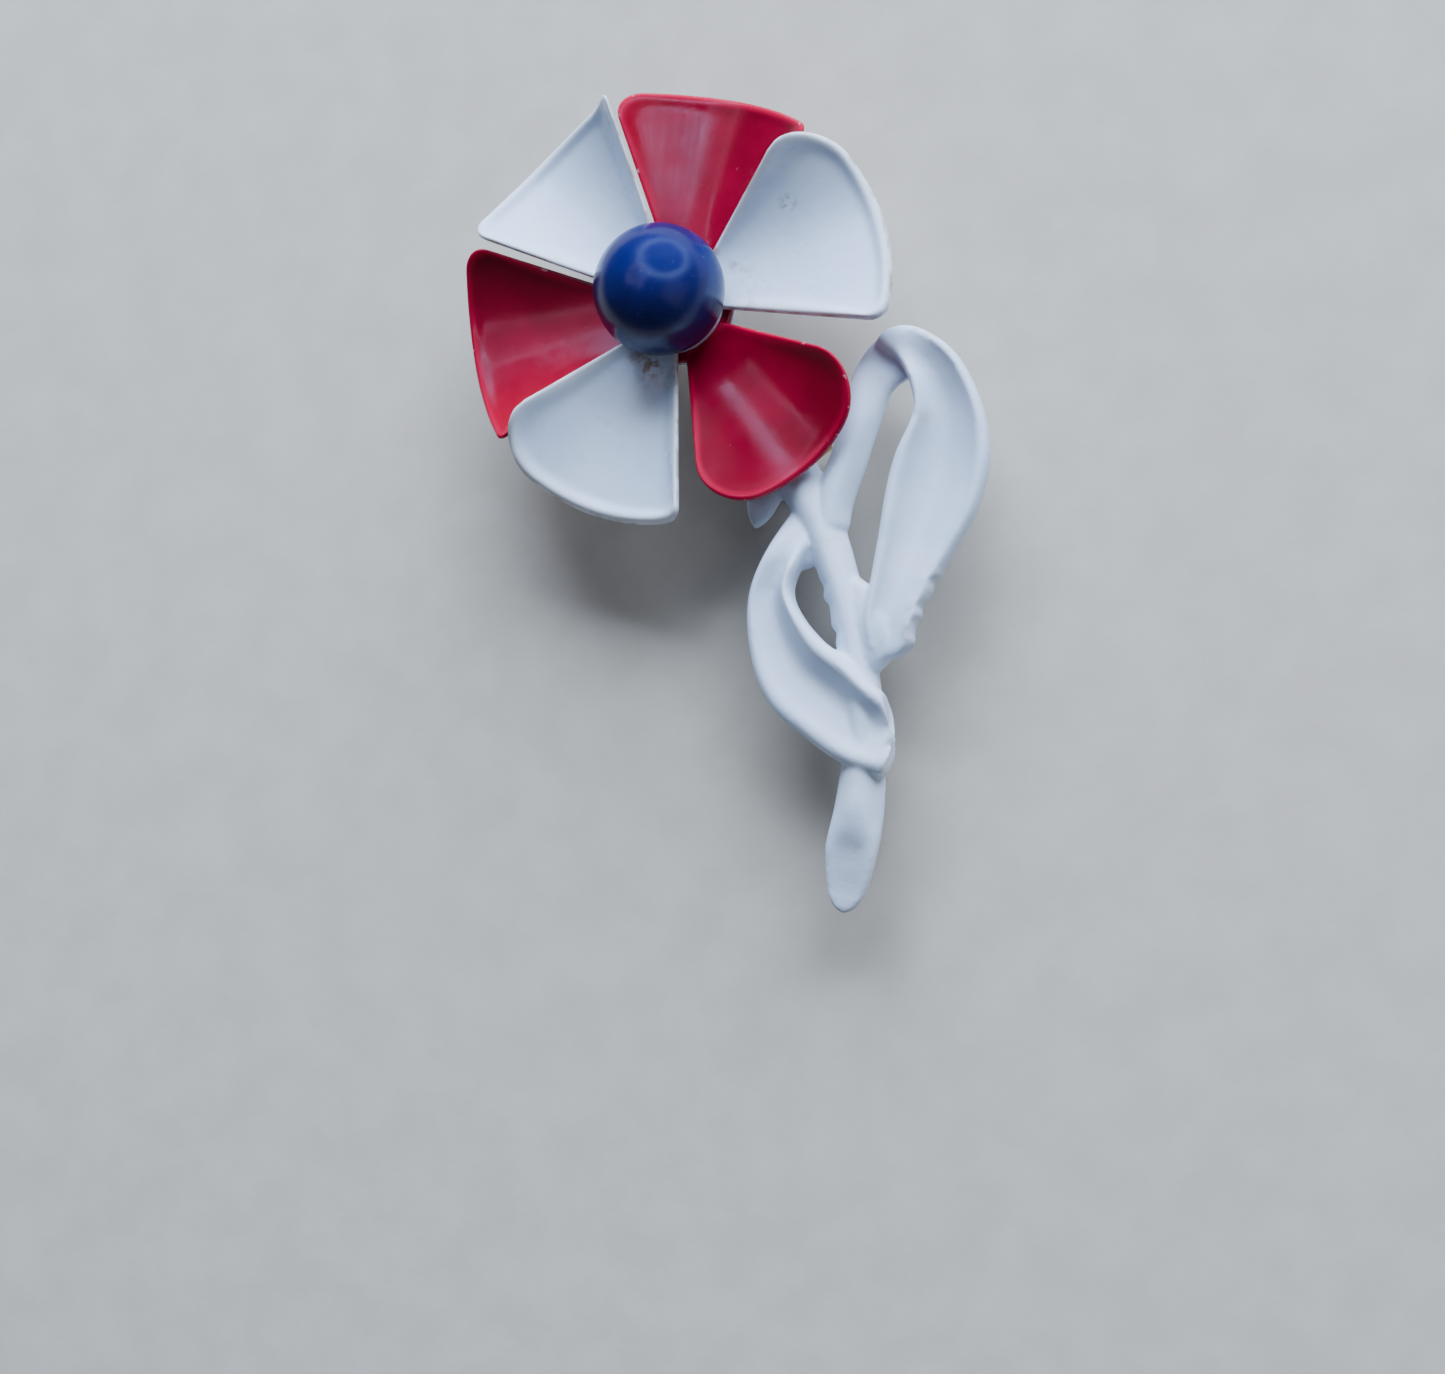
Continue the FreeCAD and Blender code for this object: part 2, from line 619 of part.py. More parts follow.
core_half = ring_half + s.barrel_play
core_low, core_high = catch_at - core_half, catch_at + core_half
core = rod("core", "x", (core_low, core_high), (0.0, pivot_z), s.ring_inner - s.barrel_play)
flange_low = rod("flange_low", "x", (core_low - s.flange, core_low), (0.0, pivot_z), flange_radius)
flange_high = rod("flange_high", "x", (core_high, core_high + s.flange), (0.0, pivot_z), flange_radius)
tab_half = s.tab_width / 2
tab_ends = (core_high, core_high + s.flange)
tab_sides = (pivot_z - tab_half, pivot_z + tab_half)
tab = box("tab", tab_ends, (bore_radius, s.tab_reach - tab_half), tab_sides)
tab_round = rod("tab_round", "x", tab_ends, (s.tab_reach - tab_half, pivot_z), tab_half)
barrel_bore = rod("barrel_bore", "x", (0.0, 40.0), (0.0, pivot_z), bore_radius)
barrel_slot = box("barrel_slot", (0.0, 40.0), (-slot_half, slot_half), (below, pivot_z))
barrel_blank = fuse("barrel_blank", core, flange_low, flange_high, tab, tab_round)
catch_barrel = seat(cut("barrel_cut", barrel_blank, barrel_bore, barrel_slot), "catch_barrel", s.bar_turn)

parts = [
    red_petals,
    white_petals,
    centre_bead,
    bead_floor,
    centre_rivet,
    rivet_washer,
    stem_casting,
    pin_bar,
    hinge_bracket,
    hinge_pin,
    pin_stem,
    catch_ring,
    catch_barrel,
]


def check():
    doc.recompute()
    failed = [thing.Name for thing in doc.Objects if {"Invalid", "Error"} & set(thing.State)]
    if failed:
        raise RuntimeError("could not be worked out: " + ", ".join(failed))
    for part in parts:
        if part.Shape.isNull() or not part.Shape.isValid() or len(part.Shape.Solids) != 1:
            raise RuntimeError(part.Label + " is not one sound solid")


check()
whole = FreeCAD.BoundBox()
for part in parts:
    whole.add(part.Shape.optimalBoundingBox(False))
for name, number in (
    ("origin_x", -(whole.XMin + whole.XMax) / 2),
    ("origin_y", -(whole.YMin + whole.YMax) / 2),
    ("origin_z", -whole.ZMin),
):
    sheet.set(sheet.getCellFromAlias(name), "%.4f" % number)
check()

os.makedirs("parts", exist_ok=True)
for part in parts:
    part.Shape.exportStep("parts/%s.step" % part.Label)
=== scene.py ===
import math

import bpy
import numpy as np
from mathutils import Matrix, Vector


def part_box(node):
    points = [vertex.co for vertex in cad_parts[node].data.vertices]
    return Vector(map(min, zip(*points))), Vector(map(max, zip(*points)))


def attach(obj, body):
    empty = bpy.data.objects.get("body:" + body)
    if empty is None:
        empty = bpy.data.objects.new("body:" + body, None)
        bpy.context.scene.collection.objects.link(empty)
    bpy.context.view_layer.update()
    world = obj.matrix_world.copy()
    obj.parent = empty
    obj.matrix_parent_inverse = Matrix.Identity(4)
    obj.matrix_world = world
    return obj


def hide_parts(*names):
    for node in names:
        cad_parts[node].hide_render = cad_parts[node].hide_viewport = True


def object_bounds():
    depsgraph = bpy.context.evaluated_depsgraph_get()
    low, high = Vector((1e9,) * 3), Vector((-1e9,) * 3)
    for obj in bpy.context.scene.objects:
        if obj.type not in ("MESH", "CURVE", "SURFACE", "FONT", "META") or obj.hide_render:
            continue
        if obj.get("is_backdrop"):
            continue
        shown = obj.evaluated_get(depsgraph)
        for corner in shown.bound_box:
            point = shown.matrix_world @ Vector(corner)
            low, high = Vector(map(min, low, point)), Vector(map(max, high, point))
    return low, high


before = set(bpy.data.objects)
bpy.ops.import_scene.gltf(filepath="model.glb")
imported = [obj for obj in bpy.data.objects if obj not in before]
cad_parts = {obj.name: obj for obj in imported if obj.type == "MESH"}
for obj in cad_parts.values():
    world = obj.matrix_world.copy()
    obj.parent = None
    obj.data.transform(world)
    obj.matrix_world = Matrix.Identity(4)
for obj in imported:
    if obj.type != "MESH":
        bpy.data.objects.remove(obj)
cad_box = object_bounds()

# Enamelled flower brooch, lying on its back: three white and three red pressed petals round a
# navy bead, on a white enamelled casting, with a hinged pin and a safety catch behind.


# ---------------------------------------------------------------------------------------------
# Camera: held above the stem's right side, looking down across the flower, slightly rolled.
# Every place is worked out in millimetres from `flower`, the point on the flower's axis where
# the petals are riveted to the casting.
MM = 0.001
washer_box = np.array(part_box("rivet_washer"))
flower = np.append(washer_box.mean(axis=0)[:2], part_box("red_petals")[0][2])

camera_place = flower + np.array([60.06, -98.26, 238.1]) * MM
camera_gaze = Vector((-0.2557, 0.2339, -0.9380)).normalized()
camera_top = Vector((0.2844, 0.9455, 0.1583)).normalized()
camera = bpy.data.objects.new("camera", bpy.data.cameras.new("camera"))
camera.data.lens = 64.78
camera.data.sensor_fit = "HORIZONTAL"
camera.data.sensor_width = 36.0
camera.data.clip_start = 0.005
sideways = camera_gaze.cross(camera_top).normalized()
turned = Matrix((sideways, sideways.cross(camera_gaze), -camera_gaze)).transposed()
camera.matrix_world = Matrix.Translation(Vector(camera_place)) @ turned.to_4x4()
bpy.context.scene.collection.objects.link(camera)
bpy.context.scene.camera = camera


# ---------------------------------------------------------------------------------------------
# Table top: a plain pale card, 3 m across, that the brooch lies on; it is matt, with a faint
# fibre.
def node(tree, kind, inputs=None, out=0, **settings):
    """Adds a node with its settings, gives each input its value or links it to another node's
    output, and returns one of the node's own outputs."""
    made = tree.nodes.new("ShaderNode" + kind)
    for name, value in settings.items():
        setattr(made, name, value)
    for name, value in (inputs or {}).items():
        if isinstance(value, bpy.types.NodeSocket):
            tree.links.new(value, made.inputs[name])
        else:
            made.inputs[name].default_value = value
    return made.outputs[out] if made.outputs else made


def linear(code):
    """An sRGB hex colour as a linear one: each part p becomes ((p + 0.055) / 1.055) ^ 2.4, or
    p / 12.92 near black."""
    parts = [int(code[i : i + 2], 16) / 255 for i in (1, 3, 5)]
    return [p / 12.92 if p <= 0.04045 else ((p + 0.055) / 1.055) ** 2.4 for p in parts] + [1.0]


def finish(name, tones, marks, relief, rough, lines=None, **shader):
    """A finish as one material.  Two tones mix in clouds of a given size.  Each mark lays its
    colour over them by its share times the product of its terms.  A term is (source, from, to)
    and runs smoothly from 0 to 1 as its source goes from one level to the other.  A source is
    the name of a number kept on the piece, "edge" for how sharply the surface turns there, a
    place in millimetres for the distance from it, or a number for a cloud of noise that many
    millimetres across.  Relief is a depth in millimetres and (size, share) clouds; rough is
    (cloud size, least, most).  lines is the turn, in radians, that brings drawn lines on to the
    x axis; the relief's clouds are then drawn out twentyfold along them."""
    made = bpy.data.materials.new(name)
    made.use_nodes = True
    tree = made.node_tree
    tree.nodes.clear()
    place = node(tree, "TexCoord", out="Object")

    def term(source, low, high, least=0.0, most=1.0):
        if source == "edge":
            value = node(tree, "NewGeometry", out="Pointiness")
        elif isinstance(source, str):
            value = node(tree, "Attribute", out="Fac", attribute_name=source)
        elif isinstance(source, tuple):
            spot = tuple(flower + np.array(source) * MM)
            value = node(tree, "VectorMath", {0: place, 1: spot}, "Value", operation="DISTANCE")
            low, high = low * MM, high * MM
        else:
            cloud = {"Vector": place, "Scale": 1 / (source * MM), "Detail": 4.0, "Roughness": 0.55}
            value = node(tree, "TexNoise", cloud, "Fac")
        levels = {"From Min": low, "From Max": high, "To Min": least, "To Max": most}
        return node(tree, "MapRange", {"Value": value, **levels}, interpolation_type="SMOOTHSTEP")

    # A Mix node's colours are its inputs 6 and 7 and its output 2.
    cloud_low, cloud_high, drawn_out = 0.3, 0.7, 20.0
    cloud_size, light, dark = tones
    mixed = {0: term(cloud_size, cloud_low, cloud_high), 6: linear(light), 7: linear(dark)}
    base = node(tree, "Mix", mixed, 2, data_type="RGBA")
    for share, code, *terms in marks:
        much = share
        for each in terms:
            much = node(tree, "Math", {0: much, 1: term(*each)}, operation="MULTIPLY")
        base = node(tree, "Mix", {0: much, 6: base, 7: linear(code)}, 2, data_type="RGBA")

    depth, clouds = relief
    height = 0.0
    for size, share in clouds:
        across = place
        if lines:
            shrunk = (1 / drawn_out, 1.0, 1.0)
            stretched = {"Vector": place, "Rotation": (0.0, 0.0, lines), "Scale": shrunk}
            across = node(tree, "Mapping", stretched)
        bumps = node(tree, "TexNoise", {"Vector": across, "Scale": 1 / (size * MM)}, "Fac")
        height = node(tree, "Math", {0: bumps, 1: share, 2: height}, operation="MULTIPLY_ADD")
    normal = node(tree, "Bump", {"Height": height, "Distance": depth * MM})
    rough_size, least, most = rough
    level = term(rough_size, cloud_low, cloud_high, least, most)
    wired = {"Base Color": base, "Roughness": level, "Normal": normal, **shader}
    surface = node(tree, "BsdfPrincipled", wired)
    node(tree, "OutputMaterial", {"Surface": surface})
    return made


table_half = 1.5
corners = [(x * table_half, y * table_half, 0.0) for x, y in ((-1, -1), (1, -1), (1, 1), (-1, 1))]
table_mesh = bpy.data.meshes.new("table_top")
table_mesh.from_pydata(corners, [], [(0, 1, 2, 3)])
table_mesh.materials.append(
    finish(
        "matt_card",
        (6.0, "#bdb6aa", "#c4bdb2"),
        [],
        (0.02, ((1.5, 1.0),)),
        (8.0, 0.8, 0.9),
        **{"Specular IOR Level": 0.2},
    )
)
table_top = bpy.data.objects.new("table_top", table_mesh)
bpy.context.scene.collection.objects.link(table_top)
table_top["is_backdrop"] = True


# ---------------------------------------------------------------------------------------------
# Lights: a broad cool window beyond the flower gives the shading; a ceiling panel with
# brighter edges shows as bands along the glossy red petals, and a ring of soft lamps as the
# pale ring on the bead.
def panel(name, towards, distance, width, height, radiance, code, diffuse=True, glossy=True):
    """A soft rectangular lamp at a distance from the flower, facing it.  Its power is its
    radiance times pi times its area."""
    lamp = bpy.data.lights.new(name, "AREA")
    lamp.shape = "RECTANGLE"
    lamp.size, lamp.size_y = width, height
    lamp.energy = radiance * math.pi * width * height
    lamp.color = linear(code)[:3]
    holder = bpy.data.objects.new(name, lamp)
    way = Vector(towards).normalized()
    holder.location = Vector(flower) + way * distance
    holder.rotation_euler = way.to_track_quat("Z", "Y").to_euler()
    holder.visible_diffuse, holder.visible_glossy = diffuse, glossy
    bpy.context.scene.collection.objects.link(holder)
    return holder


window_way, window_far, window_size = (0.42, 0.86, 0.56), 0.75, (0.90, 0.60)
panel("window", window_way, window_far, *window_size, 18.0, "#d6e6ff", glossy=False)
panel("window_glow", window_way, window_far, *window_size, 0.4, "#d9e7ff", diffuse=False)
panel("fill", (0.9, -0.7, 0.9), 0.80, 0.60, 0.60, 0.4, "#fff4ea")

ceiling_way, ceiling_far, ceiling_size = (-0.26, 0.23, 0.94), 0.50, (0.24, 0.24)
panel("ceiling", ceiling_way, ceiling_far, *ceiling_size, 0.75, "#e6dcff", diffuse=False)
strip_wide, strip_at = 0.014, 0.13
for count, (x, y) in enumerate(((-1, 0), (1, 0), (0, -1), (0, 1))):
    strip_size = [strip_wide if step else 2 * strip_at for step in (x, y)]
    name = "strip_%d" % count
    strip = panel(name, ceiling_way, ceiling_far, *strip_size, 5.5, "#ecdcff", diffuse=False)
    strip.location += strip.rotation_euler.to_matrix() @ Vector((x, y, 0)) * strip_at

ring_way, ring_far, ring_radius = Vector((0.497, 0.541, 0.679)), 0.34, 0.24
ring_lamps, ring_lamp_size = 24, (0.075, 0.075)
for count in range(ring_lamps):
    turn = 2 * math.pi * count / ring_lamps
    spot = Vector((ring_radius * math.cos(turn), ring_radius * math.sin(turn), ring_far))
    spot = ring_way.to_track_quat("Z", "Y") @ spot
    name = "ring_lamp_%d" % count
    panel(name, spot, spot.length, *ring_lamp_size, 4.2, "#a9c8ff", diffuse=False)

world = bpy.data.worlds.new("studio")
bpy.context.scene.world = world
world.use_nodes = True
world.node_tree.nodes["Background"].inputs["Color"].default_value = linear("#d8e4ff")
world.node_tree.nodes["Background"].inputs["Strength"].default_value = 0.13


# ---------------------------------------------------------------------------------------------
# White petals: three petals and the hub that joins them, pressed from one 0.9 mm metal sheet
# and dished along each petal, then dipped in white enamel that gathers in a low lip inside the
# rim.  They lie on the red set and are held by the rivet under the bead.
def skin(loops, first, last):
    """A closed skin over loops[i, j], rings of points in order, each closed on itself, with a
    fan of triangles to one point at either end.  Gives points and faces, facing outwards."""
    rings, around = loops.shape[:2]
    points = np.concatenate([loops.reshape(-1, 3), [first], [last]])
    i, j = np.meshgrid(np.arange(rings - 1), np.arange(around), indexing="ij")
    beside = (j + 1) % around
    quads = [i * around + j, (i + 1) * around + j, (i + 1) * around + beside, i * around + beside]
    quads = np.stack(quads, -1).reshape(-1, 4)
    j = np.arange(around)
    beside, end = (j + 1) % around, (rings - 1) * around
    near = np.stack([np.full_like(j, rings * around), j, beside], -1)
    far = np.stack([np.full_like(j, rings * around + 1), end + beside, end + j], -1)
    corners = np.concatenate([near, far, quads[:, [0, 1, 2]], quads[:, [0, 2, 3]]])
    a, b, c = (points[corners[:, k]] for k in range(3))
    if np.einsum("ij,ij->i", a, np.cross(b, c)).sum() < 0:
        quads, near, far = quads[:, ::-1], near[:, ::-1], far[:, ::-1]
    return points, [*quads.tolist(), *near.tolist(), *far.tolist()]


def build(name, skins, marks=None):
    """One object from closed skins given in millimetres from the flower.  marks are numbers
    kept on the points for the finish to read."""
    points, faces, start = [], [], 0
    for spots, corners in skins:
        points.append(spots)
        faces += [[corner + start for corner in face] for face in corners]
        start += len(spots)
    mesh = bpy.data.meshes.new(name)
    mesh.from_pydata((np.concatenate(points) * MM + flower).tolist(), [], faces)
    mesh.polygons.foreach_set("use_smooth", np.ones(len(mesh.polygons), dtype=bool))
    for key, values in (marks or {}).items():
        layer = mesh.attributes.new(key, "FLOAT", "POINT")
        layer.data.foreach_set("value", np.concatenate(values).astype(np.float32))
    mesh.update()
    made = bpy.data.objects.new(name, mesh)
    bpy.context.scene.collection.objects.link(made)
    return made


def petal_outline(left, right, reach, left_corner, right_corner, root, count):
    """The petal's edge, as even steps along it: an arc at the reach, on each side a corner
    rounded by a circle that meets a straight radial side, and back across at the root."""
    arc_steps, bend_steps, side_steps = 30, 40, 40
    sides = []
    for half, corner, sign in ((left, left_corner, 1), (right, right_corner, -1)):
        half = math.radians(half)
        middle = reach - corner
        turn_in = half - math.asin(corner / middle)
        bend = np.linspace(turn_in, half, bend_steps)
        swing = middle * np.sin(bend - turn_in)
        bent = middle * np.cos(bend - turn_in) + np.sqrt(np.maximum(corner**2 - swing**2, 0))
        arc, side = np.linspace(0, turn_in, arc_steps), np.linspace(bent[-1], root, side_steps)[1:]
        radius = np.concatenate([np.full(arc_steps, reach), bent[1:], side])
        angle = np.concatenate([arc, bend[1:], np.full(len(side), half)])
        sides.append((radius, sign * angle))
    (left_r, left_a), (right_r, right_a) = sides
    radius = np.concatenate([left_r, right_r[::-1], left_r[:1]])
    angle = np.concatenate([left_a, right_a[::-1], left_a[:1]])
    x, y = radius * np.cos(angle), radius * np.sin(angle)
    run = np.concatenate([[0], np.cumsum(np.hypot(np.diff(x), np.diff(y)))])
    even = np.linspace(0, run[-1], count, endpoint=False)
    return np.interp(even, run, x), np.interp(even, run, y)


def petal(shape, floor, root, sheet, lip):
    """A pressed petal as a closed skin of rings that shrink from its edge to its middle, over
    the front and back again behind.  The sheet's middle surface rises along the petal by `rise`
    and across it by the edge lift times (1 - cos v) / (1 - cos 1.1), v going from 0 on the
    middle line to 1.1 at the edge, and the curl turns the part outside 0.72 of the half angle
    up by the square of the way through it.  The thickness closes to nothing at the edge on a
    quarter round, and the lip is a bell curve 0.7 mm inside the edge.  The root runs 0.6 mm
    into the hub, and the rings crowd together towards the edge."""
    turn, left, right, reach, left_corner, right_corner, left_lift, right_lift, rise, curls = shape
    start, middle_x, around = root - 0.6, 13.5, 220
    widest, curled, lip_at, edge_round = 1.1, 0.72, 0.7, 0.55 * sheet
    rings, crowding, rim_rings, rim_share = 44, 1.7, 9, 0.05
    edge_x, edge_y = petal_outline(left, right, reach, left_corner, right_corner, start, around)
    front = 1 - np.linspace(0, 1, rings)[1:] ** crowding
    rim_steps = 1 - rim_share * (1 - np.cos(np.linspace(0, math.pi / 2, rim_rings)[:-1]))
    front = np.concatenate([rim_steps, (1 - rim_share) * front / front[0]])
    share = np.concatenate([front[::-1][1:], front[1:]])[:, None]
    face = np.concatenate([np.ones(len(front) - 1), -np.ones(len(front) - 1)])[:, None]
    x, y = middle_x + share * (edge_x - middle_x), share * edge_y
    radius, angle = np.hypot(x, y), np.arctan2(y, x)
    along = np.clip((radius - root) / (reach - root), 0, 1.1)
    across = np.clip(angle / np.radians(np.where(angle > 0, left, right)), -1.3, 1.3)
    lift = np.where(angle > 0, left_lift, right_lift)
    dish = (1 - np.cos(across * widest)) / (1 - math.cos(widest))
    way_up = np.clip((np.abs(across) - curled) / (1 - curled), 0, 1.2)
    curl = np.where(angle > 0, *curls) * way_up**2
    to_edge = (1 - share) * np.hypot(edge_x - middle_x, edge_y)
    inside = np.clip(to_edge / edge_round, 0, 1)
    thick = sheet / 2 * np.sqrt(np.maximum(1 - (1 - inside) ** 2, 0))
    gathered = lip * np.exp(-(((to_edge - lip_at) / lip_at) ** 2)) * along
    z = floor + sheet / 2 + (rise + lift * dish + curl) * along
    z = z + face * thick + np.where(face > 0, gathered, 0.0)
    cos, sin = math.cos(math.radians(turn)), math.sin(math.radians(turn))
    loops = np.stack([x * cos - y * sin, x * sin + y * cos, z], -1)
    ends = [[middle_x * cos, middle_x * sin, loops[row, :, 2].mean()] for row in (0, -1)]
    kept = (("rim", to_edge, 8.0), ("across", across, 0.0), ("along", along, 0.5))
    marks = {
        key: np.append(np.broadcast_to(value, x.shape).ravel(), [at_middle, at_middle])
        for key, value, at_middle in kept
    }
    return skin(loops, *ends), marks


def hub(floor, sheet, radius, hole, edge, count=96):
    """The flat ring that joins three petals: its rectangular section, with the corners on
    quarter circles of radius `edge`, carried round the axis.  It is a little thinner than the
    sheet, so that its faces never lie in the petals' own."""
    thinned = 0.03
    low, high = floor + thinned, floor + sheet - thinned
    corner = np.linspace(0, math.pi / 2, 6)
    spots = [
        np.stack([r + edge * np.cos(corner + start), z + edge * np.sin(corner + start)], -1)
        for r, z, start in (
            (radius - edge, high - edge, 0),
            (hole + edge, high - edge, math.pi / 2),
            (hole + edge, low + edge, math.pi),
            (radius - edge, low + edge, 1.5 * math.pi),
        )
    ]
    r, z = np.concatenate(spots).T
    turn = np.linspace(0, 2 * math.pi, count, endpoint=False)[:, None]
    ring = np.stack([r * np.cos(turn), r * np.sin(turn), z + 0 * turn], -1)
    i, j = np.meshgrid(np.arange(count), np.arange(len(r)), indexing="ij")
    after, beside = (i + 1) % count, (j + 1) % len(r)
    quads = [i * len(r) + j, after * len(r) + j, after * len(r) + beside, i * len(r) + beside]
    return ring.reshape(-1, 3), np.stack(quads, -1).reshape(-1, 4).tolist()


def petal_set(name, shapes, floor, root, sheet, lip, hub_radius):
    """Three petals and their hub as one object; the hub's own marks are those far from a rim."""
    petals = [petal(shape, floor, root, sheet, lip) for shape in shapes]
    middle = hub(floor, sheet, hub_radius, hole=1.1, edge=0.2)
    marks = {
        key: [marks[key] for _, marks in petals] + [np.full(len(middle[0]), far)]
        for key, far in (("rim", 8.0), ("across", 0.0), ("along", 0.0))
    }
    return build(name, [shell for shell, _ in petals] + [middle], marks)


sheet = 0.9
# turn, half angles left and right, reach, corner rounds, edge lifts left and right, rise, curls
white_shapes = [
    (3.9, 31.4, 29.3, 22.6, 4.7, 1.7, 5.4, 1.7, 0.1, (1.6, 0.2)),
    (117.9, 27.6, 27.0, 21.6, 1.8, 0.8, 4.8, 3.7, 0.4, (0.3, 1.8)),
    (231.3, 28.5, 30.0, 22.8, 1.2, 4.8, 1.6, 5.2, 0.0, (1.3, 1.4)),
]
white_petals = petal_set(
    "white_petals_enamelled", white_shapes, sheet, root=4.95, sheet=sheet, lip=0.45, hub_radius=5.05
)

# White stoving enamel on pressed metal, dipped and baked: a cool white with a soft satin gloss
# and a fine orange peel, its blue tint partly painted cool daylight, a paler band along the
# rims a painted highlight, grey where it is scuffed, brown with tarnish beside the bead and
# where the metal shows through along the rims.
white_petals.data.materials.append(
    finish(
        "stoved_white_enamel",
        # Both tones are tinted blue: a cool white whose tint is partly painted cool daylight.
        (9.0, "#ccdff6", "#d8e7f9"),
        [
            # Painted highlight: a paler, warmer band along every rim, where the rounded rims catch
            # the light.
            (0.45, "#ece7e2", ("rim", 1.1, 0.3)),
            (0.80, "#8f6f42", ("along", 0.30, 0.0), (2.0, 0.50, 0.66)),
            (0.85, "#8a6a3c", ((-3.9, -5.5, 1.6), 2.0, 0.5), (0.9, 0.42, 0.60)),
            (0.20, "#8c8f98", (3.4, 0.66, 0.76), ("rim", 1.0, 2.5)),
            (0.60, "#80838c", ((14.0, 5.4, 3.2), 1.3, 0.4), (0.8, 0.44, 0.58)),
            (0.85, "#4f4336", ((-18.5, -7.8, 4.0), 3.0, 1.2), ("rim", 0.8, 0.2)),
            (0.55, "#94795a", ("rim", 0.34, 0.05), (2.8, 0.46, 0.60)),
        ],
        (0.03, ((1.1, 0.7), (0.25, 0.3))),
        (5.0, 0.24, 0.36),
        **{"IOR": 1.52, "Coat Weight": 0.25, "Coat Roughness": 0.18},
    )
)
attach(white_petals, "brooch")
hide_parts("white_petals")


# ---------------------------------------------------------------------------------------------
# Red petals: the lower set of three, pressed and dished like the white set but coated in a
# clear red enamel with a wetter gloss; it lies flat on the casting, under the white set.
red_shapes = [
    (60.7, 29.3, 29.1, 21.5, 2.5, 1.0, 4.9, 4.1, 1.0, (0.5, 0.0)),
    (176.1, 28.4, 28.5, 22.0, 0.6, 2.2, 3.5, 4.4, 1.0, (0.0, 0.4)),
    (294.1, 29.0, 28.5, 22.6, 4.8, 4.6, 4.8, 3.2, 0.5, (0.6, 0.3)),
]
red_petals = petal_set(
    "red_petals_enamelled", red_shapes, 0.0, root=5.55, sheet=sheet, lip=0.10, hub_radius=5.9
)

# Translucent red enamel over bright metal: crimson where it lies thick in the dish, brighter
# along the rims where it thins, with a few pale chips; a painted highlight brightens one side
# of each petal and painted shade darkens the other.
red_petals.data.materials.append(
    finish(
        "translucent_red_enamel",
        (7.0, "#7a0020", "#90002a"),
        [
            # Painted highlight: one side of each petal, and its outer part, a brighter red.
            (0.30, "#bc0028", ("across", 0.1, 0.9), ("along", 0.0, 0.7)),
            # Painted shade: the other side of each petal a darker red.
            (0.20, "#6c0020", ("across", -0.25, -0.85)),
            (0.70, "#c4063c", ("rim", 1.1, 0.35)),
            (0.80, "#d9a3a4", ("rim", 0.5, 0.15), (1.6, 0.64, 0.69)),
            (0.45, "#c08a90", ("rim", 2.0, 3.5), (0.6, 0.72, 0.78)),
        ],
        (0.02, ((1.3, 0.75), (0.3, 0.25))),
        (4.0, 0.13, 0.24),
        **{"IOR": 1.5, "Specular IOR Level": 0.36},
    )
)
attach(red_petals, "brooch")
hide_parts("red_petals")


# ---------------------------------------------------------------------------------------------
# Centre bead: a thin metal shell drawn to a ball, open below where it is closed on the petals'
# hub, and coated in navy enamel.
def bead_shell(radius, lift, seat, wall, turns=160):
    """A profile carried round the axis: the ball from its top down to the seat, and the inside
    back up to the crown.  The ball's centre is `lift` above the seat, and the profile stops at
    a small angle from the axis, where the fans of triangles close it."""
    inner, beside_axis, outside_steps, inside_steps = radius - wall, 0.004, 90, 30
    outside = np.linspace(beside_axis, math.acos(-lift / radius), outside_steps)
    inside = np.linspace(math.acos(-lift / inner), beside_axis, inside_steps)
    r = np.concatenate([radius * np.sin(outside), inner * np.sin(inside)])[:, None]
    z = np.concatenate([radius * np.cos(outside), inner * np.cos(inside)])[:, None] + seat + lift
    turn = np.linspace(0, 2 * math.pi, turns, endpoint=False)
    loops = np.stack([r * np.cos(turn), r * np.sin(turn), z + 0 * turn], -1)
    return skin(loops, [0, 0, z[0, 0]], [0, 0, z[-1, 0]])


bead = build("centre_bead_enamelled", [bead_shell(6.5, lift=4.45, seat=2 * sheet, wall=0.6)])

# Navy stoving enamel: nearly black in shade and blue in light, its gloss softened by handling,
# with a faint bloom of dust.
bead.data.materials.append(
    finish(
        "stoved_navy_enamel",
        (4.5, "#08104e", "#0e185c"),
        [(0.20, "#5d74a8", (0.5, 0.62, 0.80))],
        (0.012, ((1.5, 1.0),)),
        (2.4, 0.20, 0.27),
        **{"IOR": 1.5, "Specular IOR Level": 0.42},
    )
)
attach(bead, "brooch")
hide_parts("centre_bead")


# ---------------------------------------------------------------------------------------------
# Stem casting: one zinc casting under the flower, a stem with a cut foot, a stalk that folds
# over into the right leaf, a left leaf that crosses the stem, a spur, and the stud that is
# closed over the pin bar; coated all over in white enamel that rounds every edge.
def through(stations, count):
    """Even steps on a smooth line through the stations, every column with them: each stretch
    is the cubic whose slope at a station is that of its two neighbours."""
    rows = np.array(stations, dtype=float)
    run = np.concatenate([[0], np.cumsum(np.hypot(*np.diff(rows[:, :2], axis=0).T))])
    slope = np.gradient(rows, run, axis=0)
    at = np.linspace(0, run[-1], count)
    i = np.clip(np.searchsorted(run, at, side="right") - 1, 0, len(run) - 2)
    step = (run[i + 1] - run[i])[:, None]
    t = (at - run[i])[:, None] / step
    start = (2 * t**3 - 3 * t**2 + 1) * rows[i] + (t**3 - 2 * t**2 + t) * step * slope[i]
    stop = (3 * t**2 - 2 * t**3) * rows[i + 1] + (t**3 - t**2) * step * slope[i + 1]
    return start + stop, at, run[-1]


